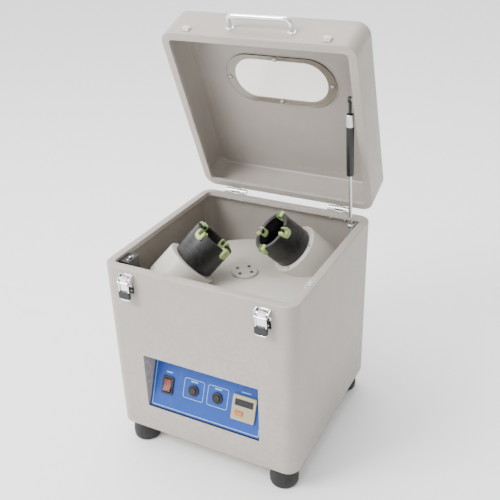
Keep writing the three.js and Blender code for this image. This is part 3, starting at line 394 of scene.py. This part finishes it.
def screw(name, place, body, radius=4.0, tall=2.2, material="steel"):
    """A pan-head screw with a cross recess, its head on the plane z = 0 of place."""
    r = radius
    dome = [(0, 0), (r, 0), (r, tall * 0.3), (r * 0.86, tall * 0.75), (r * 0.5, tall), (0, tall * 1.02)]
    head = add(name, *lathe(dome, 24, closed=False), material, place, body)
    arm, half = r * 0.55, r * 0.12
    for quarter in (0, 90):
        slot = cuboid(-arm, arm, -half, half, tall * 0.45, tall * 2)
        boolean(head, slot, place @ tilt("Z", quarter))
    return head


def at(x, y, z):
    return Matrix.Translation((x, y, z))


def tilt(axis, degrees):
    return Matrix.Rotation(math.radians(degrees), 4, axis)


# ------------------------------------------------------------ cabinet
recess_low, recess_high = box_mm("control_recess")
panel_low, panel_high = box_mm("control_panel")
RECESS_X = recess_high[0] - RECESS_SHEET
RECESS_Z0 = panel_low[2] - 0.2
RECESS_Z1 = recess_high[2] - RECESS_SHEET


def cabinet():
    profile = [
        (0, FLOOR_Z + 1), (0, RIM - 3), (0.4, RIM - 1.4), (1.4, RIM - 0.4), (3, RIM),
        (FLANGE - 1.5, RIM), (FLANGE - 0.4, RIM - 0.4), (FLANGE, RIM - 1.5), (FLANGE, RIM - RIM_LIP),
        (FLANGE - SHEET, RIM - RIM_LIP), (FLANGE - SHEET, RIM - SHEET), (SHEET + 1.5, RIM - SHEET),
        (SHEET, RIM - 4), (SHEET, FLOOR_Z + 1), (SHEET - 0.4, FLOOR_Z), (0.4, FLOOR_Z)]
    shell = add("cabinet_skin", *framed(profile, WIDTH, DEPTH, CORNER), "paint", CASE, "cabinet",
                replaces=("case_shell",))
    mid = (RECESS_Z0 + RECESS_Z1) / 2
    mouth = slab(rounded(2 * RECESS_X, RECESS_Z1 - RECESS_Z0, 3), -10, 10, 0.1)
    boolean(shell, mouth, at(0, FRONT, mid) @ tilt("X", 90))
    for covering, inset_x, inset_z in (("rear_cover", 10, 10), ("mains_inlet", 11, 2)):
        low, high = box_mm(covering)
        opening = cuboid(low[0] + inset_x, high[0] - inset_x, BACK - 9, BACK + 5,
                         low[2] + inset_z, high[2] - inset_z)
        boolean(shell, opening, Matrix())
    for side in (-1, 1):
        for dx in (-HINGE_SCREW, HINGE_SCREW):
            place = at(side * HINGE_X + dx, BACK - SHEET, RIM - HINGE_SCREW_DROP)
            screw("hinge_bolt", place @ tilt("X", 90), "cabinet", 3.6)
    for sx in (-1, 1):
        for z in (FLOOR_Z + 25, RIM - 60):
            screw("side_screw", at(sx * WIDTH / 2, MID_Y + 150, z) @ tilt("Y", 90 * sx), "cabinet", 3.4)


def recess():
    """The folded cheeks and roof round the sloping panel."""
    def slope(z):
        return PANEL.translation.y + (z - PANEL.translation.z) * PANEL.col[1].y / PANEL.col[1].z

    y = FRONT + SHEET + 0.2
    for s in (-1, 1):
        x0, x1 = sorted((s * RECESS_X, s * (RECESS_X + RECESS_SHEET)))
        back0, back1 = slope(RECESS_Z0) + 1, slope(RECESS_Z1) + 1
        section = [(y, RECESS_Z0), (max(back0, y + 1), RECESS_Z0), (back1, RECESS_Z1 + 1), (y, RECESS_Z1 + 1)]
        verts, faces = loft([[(x, a, b) for a, b in section] for x in (x0, x1)])
        add("recess_cheek", verts, faces, "paint", Matrix(), "cabinet",
            replaces=("control_recess",) if s < 0 else ())
    roof = cuboid(-RECESS_X - RECESS_SHEET, RECESS_X + RECESS_SHEET, y, slope(RECESS_Z1) + 2,
                  RECESS_Z1, RECESS_Z1 + RECESS_SHEET)
    add("recess_roof", *roof, "paint", Matrix(), "cabinet")


def feet():
    r, h = FOOT_R, FOOT_TALL
    profile = [
        (0, 0), (24, 0), (26, 0.5), (27.6, 2.5), (28.6, 6), (r, 11), (r, 17), (28.4, 24), (27, 31),
        (25.2, 38), (23.5, 44), (22, h), (0, h)]
    for name in ("front_left", "front_right", "rear_left", "rear_right"):
        low, high = box_mm("foot_" + name)
        place = at((low[0] + high[0]) / 2, (low[1] + high[1]) / 2, 0)
        foot = add("rubber_foot", *lathe(profile, 56, closed=False), "rubber", place, "cabinet",
                   replaces=("foot_" + name,))
        counterbore = lathe([(0, -1), (7, -1), (7, 6), (0, 6)], 24, closed=False)
        boolean(foot, counterbore, place)
        screw("foot_screw", place @ at(0, 0, 6.2) @ tilt("X", 180), "cabinet", 5.5)


def rear():
    low, high = box_mm("rear_cover")
    for x in (low[0] + 6, high[0] - 6):
        for z in (low[2] + 6, (low[2] + high[2]) / 2, high[2] - 6):
            screw("cover_screw", at(x, high[1], z) @ tilt("X", -90), "cabinet", 3.0, 1.6)
    low, high = box_mm("mains_inlet")
    for x in (low[0] + 5, high[0] - 5):
        screw("inlet_screw", at(x, high[1], (low[2] + high[2]) / 2) @ tilt("X", -90), "cabinet", 2.6, 1.4)
    for y in (-40, 40):
        for s in (-1, 1):
            screw("deck_screw", at(s * 60, MID_Y + y, box_mm("chamber_deck")[1][2]), "cabinet", 3.2)


# ------------------------------------------------------------ control panel
def local(node_name):
    low, high = box_mm(node_name)
    centre = Vector([(a + b) / 2 for a, b in zip(low, high)])
    return PANEL.inverted() @ centre


def outline_ring(name, x, y, w, h, r, thick):
    """A thin printed line round a group of controls."""
    loops = [rounded(w, h, r, 6), rounded(w - 2 * thick, h - 2 * thick, r - thick, 6)]
    ring = flat_curve(name, loops, PRINT_Z, PRINT_TOP, 0.02)
    return add_mesh(ring, name, PALE_BLUE, PANEL @ at(x, y, 0), "cabinet")


def label_bar(x, y, w, h):
    """A plain bar where a caption would stand."""
    bar = slab(rounded(w, h, h / 2, 4), PRINT_Z, PRINT_TOP, 0.05)
    add("caption_bar", *bar, PALE_BLUE, PANEL @ at(x, y, 0), "cabinet", slot="panel_blue")


def controls():
    half = RECESS_X - 5
    length = (panel_high[2] - panel_low[2]) / PANEL.col[1].z
    outline_ring("panel_border", 0, length / 2, 2 * half, length - 9, 4, 1.3)
    collar = lathe([(7.5, 0.3), (11.6, 0.3), (12, 1.4), (11.2, 2.6), (9.6, 3.2), (7.8, 3.0), (7.5, 2.4)], 48)
    cap = lathe(
        [(0, -16), (5, -16), (5, -4), (7, -4), (7, 3.2), (6.6, 4.1), (5.6, 4.5), (3, 4.2), (0, 4.0)],
        48, closed=False)
    for n in ("1", "2"):
        spot = local("button_bezel_" + n)
        outline_ring("button_outline", spot.x, spot.y + 2, 46, 42, 5, 1.0)
        label_bar(spot.x, spot.y + 18, 16, 2.4)
        place = PANEL @ at(spot.x, spot.y, 0)
        add("button_collar", *collar, "black_plastic", place, "cabinet", replaces=("button_bezel_" + n,))
        add("button_cap", *cap, "black_plastic", place, "button_" + n, replaces=("push_button_" + n,))
    spot = local("rocker_bezel")
    label_bar(spot.x, spot.y + 26, 14, 2.4)
    spot = local("timer_case")
    label_bar(spot.x, spot.y + 30, 20, 1.6)
    bevel(nodes["rocker_bezel"], 0.5)
    for name, edge in (("rocker_key", 0.6), ("timer_key", 0.5), ("timer_case", 0.5)):
        bevel(nodes[name], edge, 3)
    nodes["timer_display"].data.materials[0] = GLASS_BLACK


# ------------------------------------------------------------ lid
def stadium(w, h, steps=24):
    return rounded(w, h, h / 2 - 0.05, steps)


def lid():
    top = LID_TALL
    profile = [
        (FLANGE - 0.5, 1), (3, 1), (1.4, 1.4), (0.4, 2.4), (0, 4), (0, top - 6), (0.5, top - 3.2),
        (1.8, top - 1.4), (4, top - 0.3), (7, top), (CROWN_BORDER, top), (CROWN_BORDER, top - SHEET),
        (7, top - SHEET), (4, top - SHEET - 0.6), (SHEET + 0.8, top - 4), (SHEET, top - 6.5),
        (SHEET, 1 + SHEET), (FLANGE - SHEET, 1 + SHEET), (FLANGE - SHEET, 8), (FLANGE, 8), (FLANGE, 1.6)]
    add("lid_skin", *framed(profile, WIDTH, DEPTH, CORNER), "paint", LID, "lid", replaces=("lid_shell",))
    inset = CROWN_BORDER - 1
    outer = rounded(WIDTH - 2 * inset, DEPTH - 2 * inset, CORNER - inset)
    opening = [(x, y + WINDOW_Y) for x, y in stadium(*WINDOW_SIZE)]
    # set back a hair from the skin's faces, which it laps by a millimetre
    plate = flat_curve("lid_top", [outer, opening], top - SHEET + 0.03, top - 0.03, 0.1)
    add_mesh(plate, "lid_top", "crown_paint", LID, "lid")


def window():
    z = LID_TALL - SHEET - 0.6
    place = LID @ at(0, WINDOW_Y, 0)
    add("window_pane_skin", *slab(stadium(*PANE_SIZE), z - 3, z, 0.5), "clear", place, "lid",
        replaces=("window_pane",))
    gasket = flat_curve("window_gasket", [stadium(*PANE_SIZE), stadium(206, 94)], z + 0.05, z + 0.55, 0.05)
    add_mesh(gasket, "window_gasket", "paint", place, "lid")
    for x, y in ((-3, -50), (-113, 1), (112, 1), (-4, 51)):
        screw("window_screw", place @ at(x, y, z - 3) @ tilt("X", 180), "lid", 4.2, 2.4)
        screw("window_screw_top", place @ at(x, y, LID_TALL), "lid", 3.6, 1.6)


def handle():
    x0, x1 = HANDLE_ENDS
    y, z, r = -DEPTH / 2, 30, 5
    path = [(x0, y - 0.3, z), (x0, y - 26, z), (x1, y - 26, z), (x1, y - 0.3, z)]
    add("handle_bar", *rod_along(path, r, 13, 28), "chrome", LID, "lid", sharp=50, replaces=("lid_handle",))
    for x in HANDLE_ENDS:
        collar = lathe([(r - 0.2, 0), (8.5, 0), (8.5, 1.2), (7, 2.2), (r - 0.2, 2.2)], 32)
        add("handle_foot", *collar, "chrome", LID @ at(x, y, z) @ tilt("X", 90), "lid")
        screw("handle_screw", LID @ at(x, y + SHEET, z) @ tilt("X", -90), "lid", 4.5)


def hinges():
    for tag, side in (("left", -1), ("right", 1)):
        bevel(nodes["case_hinge_" + tag], 0.4)
        bevel(nodes["lid_hinge_" + tag], 0.4)
        for dx in (-HINGE_SCREW, HINGE_SCREW):
            x = side * HINGE_X + dx
            on_case = at(x, BACK + LEAF_FACE, RIM - HINGE_SCREW_DROP) @ tilt("X", -90)
            on_lid = LID @ at(x, DEPTH / 2 + LEAF_FACE, 21) @ tilt("X", -90)
            screw("leaf_screw_case", on_case, "cabinet", 3.4, 1.4)
            screw("leaf_screw_lid", on_lid, "lid", 3.4, 1.4)


# ------------------------------------------------------------ latches
def latches():
    for tag in ("left", "right"):
        for piece, edge in (("base", 0.35), ("lever", 0.6)):
            bevel(nodes[f"latch_{piece}_{tag}"], edge)
        bevel(nodes["keeper_" + tag], 0.35)
        bail_skin(tag)
        low, high = box_mm("latch_lever_" + tag)
        # painted shade: this black plate on the lever's tip stands for the dark hole at its end
        tip = slab(rounded(high[0] - low[0] + 2, 15, 3, 5), -3.1, 3.1, 1.1)
        place = at((low[0] + high[0]) / 2, low[1] + 2.5, low[2] + 6.1) @ tilt("X", 90)
        add("lever_grip", *tip, "black_plastic", place, "lever_" + tag)
        low, high = box_mm("latch_base_" + tag)
        x = (low[0] + high[0]) / 2
        for z in (high[2] - 5, low[2] + 6):
            for dx in (-8, 8):
                screw("latch_rivet", at(x + dx, high[1] - 1.5, z) @ tilt("X", 90), "cabinet", 2.0, 1.0)


def bail_skin(tag):
    """The wire loop of a draw latch with its two eyes."""
    joint = joints["latch_bail_hinge_" + tag]
    x, y, z = (v / MM for v in joint["pos_m"])
    half, wire, start, reach = 9.9, 1.6, 2.4, 36
    path = [(x - half, y, z - start), (x - half, y, z - reach),
            (x + half, y, z - reach), (x + half, y, z - start)]
    add("bail_wire", *rod_along(path, wire, 4, 16), "chrome", Matrix(), "bail_" + tag, sharp=50,
        replaces=("latch_bail_" + tag,))
    for s in (-1, 1):
        eye = lathe([(2, -wire), (3.8, -wire), (3.8, wire), (2, wire)], 28)
        add("bail_eye", *eye, "chrome", at(x + s * half, y, z) @ tilt("Y", 90), "bail_" + tag, soften=0.3)


# ------------------------------------------------------------ rotor and cups
def rotor():
    disc_top = joints["cup_spin_1"]["pos_m"][2] / MM - DISC_DROP + CUP_DROP
    disc_under = disc_top - 5.1
    centre = CASE @ Matrix.Rotation(ARM, 4, "Z")
    disc = lathe(
        [(SHAFT_HOLE, disc_top - 5), (150, disc_top - 5), (151.6, disc_top - 4.2), (152, disc_top - 2.5),
         (151.6, disc_top - 0.8), (150, disc_top), (SHAFT_HOLE, disc_top)], 96)
    plate = add("rotor_disc", *disc, "inner_paint", centre, "rotor", replaces=("rotor_body",))
    pot = lathe(
        [(10.5, -0.3), (53, -0.3), (54.1, -0.8), (54.5, -2), (54.5, -66), (51.5, -66), (51.5, -10),
         (10.5, -10)], 96)
    for number in ("1", "2"):
        m = cup_matrix(number)
        boolean(plate, lathe([(0, -110), (51.3, -110), (51.3, -10.2), (0, -10.2)], 64, closed=False), m)
        shell = add("cup_housing", *pot, "inner_paint", m, "rotor")
        idler = joints["idler_spin_" + number]["pos_m"]
        over_idler = at(idler[0] / MM, idler[1] / MM, 0)
        gear_low, _ = box_mm("idler_gear_" + number)
        room = lathe(
            [(0, gear_low[2] - 8), (53, gear_low[2] - 8), (53, disc_top - 30), (0, disc_top - 30)],
            64, closed=False)
        boolean(shell, room, over_idler)
        boss = lathe([(8.4, disc_top - 28), (14, disc_top - 28), (14, disc_under), (8.4, disc_under)], 40)
        add("idler_boss", *boss, "inner_paint", over_idler, "rotor")
        for a in (50, 130, 230, 310):
            screw("housing_screw", m @ tilt("Z", a) @ at(48.5, 0, -0.3), "rotor", 2.6, 1.2)
    hub_top = box_mm("main_shaft")[1][2] + 0.5
    cap = lathe(
        [(0, hub_top - 0.45), (26.4, hub_top - 5), (27, disc_top + 0.4), (27, hub_top - 2),
         (26, hub_top - 0.6), (24, hub_top), (0, hub_top)], 64, closed=False)
    add("hub_cap", *cap, "inner_paint", centre, "rotor")
    for k in range(4):
        a = math.radians(45 + 90 * k)
        spot = centre @ at(17 * math.cos(a), 17 * math.sin(a), hub_top)
        screw("hub_screw", spot, "rotor", 3.6, 2.4, "dark_steel")
    hub = lathe(
        [(SHAFT_HOLE, disc_top - 10), (26, disc_top - 10), (26, disc_under), (SHAFT_HOLE, disc_under)], 48)
    add("rotor_hub", *hub, "inner_paint", centre, "rotor")
    bevel(nodes["main_shaft"], 0.4)


def cups():
    r, bore, tall = CUP_R, CUP_BORE, CUP_TALL
    wall = lathe(
        [(0, 0.3), (r - 3, 0.3), (r - 1, 1), (r, 3), (r, tall - 0.8), (r - 0.8, tall),
         (bore + 0.8, tall), (bore, tall - 0.8), (bore, 10), (bore - 2, 8), (0, 8)], 96, closed=False)
    ring = lathe([(34, 45.5), (36.7, 45.5), (36.7, 65), (36.2, 65.5), (34.5, 65.5), (34, 65)], 96)
    for number in ("1", "2"):
        m = cup_matrix(number)
        body = "cup_" + number
        cup = add("cup_skin", *wall, "black_plastic", m, body, replaces=("cup_holder_" + number,))
        for k in range(2):
            across = cuboid(-60, 60, -12, 12, tall - 15, tall + 2)
            boolean(cup, across, m @ tilt("Z", NOTCH_TURN + 90 * k))
        add("grip_ring", *ring, "black_plastic", m, body, replaces=("cup_grip_" + number,))
        for k in range(4):
            grip_lug(m @ tilt("Z", NOTCH_TURN + 90 * k), body)
        for z in (20, 32):
            band = lathe([(r - 0.6, z), (r + 0.35, z + 0.3), (r + 0.35, z + 1.2), (r - 0.6, z + 1.5)], 96)
            add("cup_band", *band, "black_plastic", m, body)


def grip_lug(place, body):
    """A C-shaped soft lug that wraps the cup's mouth through one notch."""
    face = place @ at(0, 0, 59.2) @ tilt("Y", 90)
    lug = add("grip_lug", *slab(rounded(20.5, 20.5, 7.5, 7), 33, 47, 1.6), "green", face, body, slot="green")
    boolean(lug, slab(stadium(24, 8.6), 30, 50, 0.2), face @ at(-10.4, 0, 0))
    bevel(lug, 1.1, 3)


# ------------------------------------------------------------ strut, switch and the rim's small fittings
def strut():
    joint = joints["strut_foot"]
    axis = Vector(joints["strut_stroke"]["axis"]).normalized()
    across = Vector((1, 0, 0))
    m = basis(across, axis.cross(across), axis, [v / MM for v in joint["pos_m"]])
    _, high = box_mm("strut_cylinder")
    end = (high[2] - m.translation.z - 6) / axis.z + 0.1
    top = end - STRUT_NECK
    foot = top - STRUT_TUBE
    tube = lathe(
        [(3.9, foot), (6.4, foot), (7.2, foot + 0.6), (7.5, foot + 2), (7.5, top - 3), (6.8, top - 1),
         (5, top), (3, top + 0.5), (3, end - 5), (0, end - 5), (0, top - 15), (3.9, top - 15)],
        48, closed=False)
    add("strut_tube_skin", *tube, "black_plastic", m, "strut_tube", replaces=("strut_cylinder",))
    band = lathe([(6.9, top - 26), (7.7, top - 25.6), (7.7, top - 2), (6.9, top - 1)], 48)
    add("strut_band", *band, "steel", m, "strut_tube")
    eye = lathe([(0, -3.5), (5.4, -3.5), (6, -2.9), (6, 2.9), (5.4, 3.5), (0, 3.5)], 36, closed=False)
    crosswise = m @ at(0, 0, end) @ tilt("Y", 90)
    add("strut_eye", *eye, "black_plastic", crosswise, "strut_tube")
    stud = lathe([(0, 0), (3.5, 0), (3.5, 6.3), (0, 6.3)], 28, closed=False)
    add("strut_stud", *stud, "steel", crosswise, "strut_tube", soften=0.3)
    bevel(nodes["strut_rod"], 0.2)
    for name in ("strut_bracket_case", "strut_bracket_lid"):
        bevel(nodes[name], 0.6)


def rim_fittings():
    bevel(nodes["lid_switch"], 1.2, 3)
    low, high = box_mm("lid_switch")
    for dy in (10, 26):
        screw("switch_screw", at(high[0] - 8, low[1] + dy, high[2]), "cabinet", 2.4, 1.3)
    x, y = WIDTH / 2 - 12, MID_Y - 108
    add("lid_bumper", *slab(rounded(9, 36, 3, 6), RIM - 0.2, RIM + 0.7, 0.3), "inner_paint", at(x, y, 0),
        "cabinet")
    rivet = lathe([(0, 0), (2.2, 0), (2, 0.18), (1.2, 0.28), (0, 0.3)], 24, closed=False)
    for dy in (-12, 12):
        add("bumper_rivet", *rivet, "dark_steel", at(x, y + dy, RIM + 0.6), "cabinet")


# ------------------------------------------------------------ inner works
def inner_works():
    edges = {
        "motor_body": 0.8, "motor_stand": 0.8, "motor_driver": 0.6, "main_pulley": 0.5,
        "motor_pulley": 0.5, "spindle_housing": 0.6, "drive_belt": 0.4, "base_plate": 0.3,
        "chamber_deck": 0.3, "rear_cover": 0.3, "mains_inlet": 0.4, "control_panel": 0.2}
    for name, edge in edges.items():
        bevel(nodes[name], edge)
    low, high = box_mm("motor_stand")
    for x in (low[0] + 10, high[0] - 10):
        for y in (low[1] + 12, high[1] - 12):
            screw("stand_screw", at(x, y, low[2] + 4), "cabinet", 4.2)


# ------------------------------------------------------------ studio
def studio():
    """A pale floor, two soft lamps, and a sky that is brighter toward -x."""
    scene = bpy.context.scene
    bpy.ops.mesh.primitive_plane_add(size=30)
    floor = bpy.context.object
    floor.name = "floor"
    floor.data.materials.append(finish("floor", (0.96, 0.96, 0.96), 0.75, tone=0.01, bump=0.01, wear=0))
    lamps = (("key", (-1.7, -2.2, 2.9), 1.4, 150), ("top", (-0.4, 0.4, 3.4), 2.0, 60))
    for name, place, size, watts in lamps:
        data = bpy.data.lights.new(name, "AREA")
        data.size = size
        data.energy = watts
        lamp = bpy.data.objects.new(name, data)
        scene.collection.objects.link(lamp)
        lamp.location = place
        aim = Vector((0, 0, 0.35)) - Vector(place)
        lamp.rotation_euler = aim.to_track_quat("-Z", "Y").to_euler()
    world = bpy.data.worlds.new("studio")
    scene.world = world
    world.use_nodes = True
    tree = world.node_tree
    background = tree.nodes["Background"]
    background.inputs["Color"].default_value = (1, 1, 1, 1)
    direction = node(tree, "ShaderNodeTexCoord").outputs["Generated"]
    split = node(tree, "ShaderNodeSeparateXYZ")
    tree.links.new(direction, split.inputs[0])
    tree.links.new(ramp(tree, split.outputs["X"], -1, 1, SKY_LEFT, SKY_RIGHT), background.inputs["Strength"])


def camera():
    azimuth, elevation, roll = (math.radians(v) for v in (27.749, 27.695, -1.799))
    distance = 1485.9
    target = Vector((-2.9, 32.2 + MID_Y, 334.8 + FLOOR_Z))
    back = Vector((math.sin(azimuth) * math.cos(elevation), -math.cos(azimuth) * math.cos(elevation),
                   math.sin(elevation)))
    right = Vector((math.cos(azimuth), math.sin(azimuth), 0))
    up = back.cross(right)
    right, up = right * math.cos(roll) + up * math.sin(roll), up * math.cos(roll) - right * math.sin(roll)
    data = bpy.data.cameras.new("camera")
    data.lens = 52.17
    data.sensor_width = 36
    cam = bpy.data.objects.new("camera", data)
    bpy.context.scene.collection.objects.link(cam)
    cam.matrix_world = basis(right, up, back, (target + back * distance) * MM)
    bpy.context.scene.camera = cam


cabinet()
recess()
feet()
rear()
controls()
lid()
window()
handle()
hinges()
latches()
rotor()
cups()
strut()
rim_fittings()
inner_works()
studio()
camera()
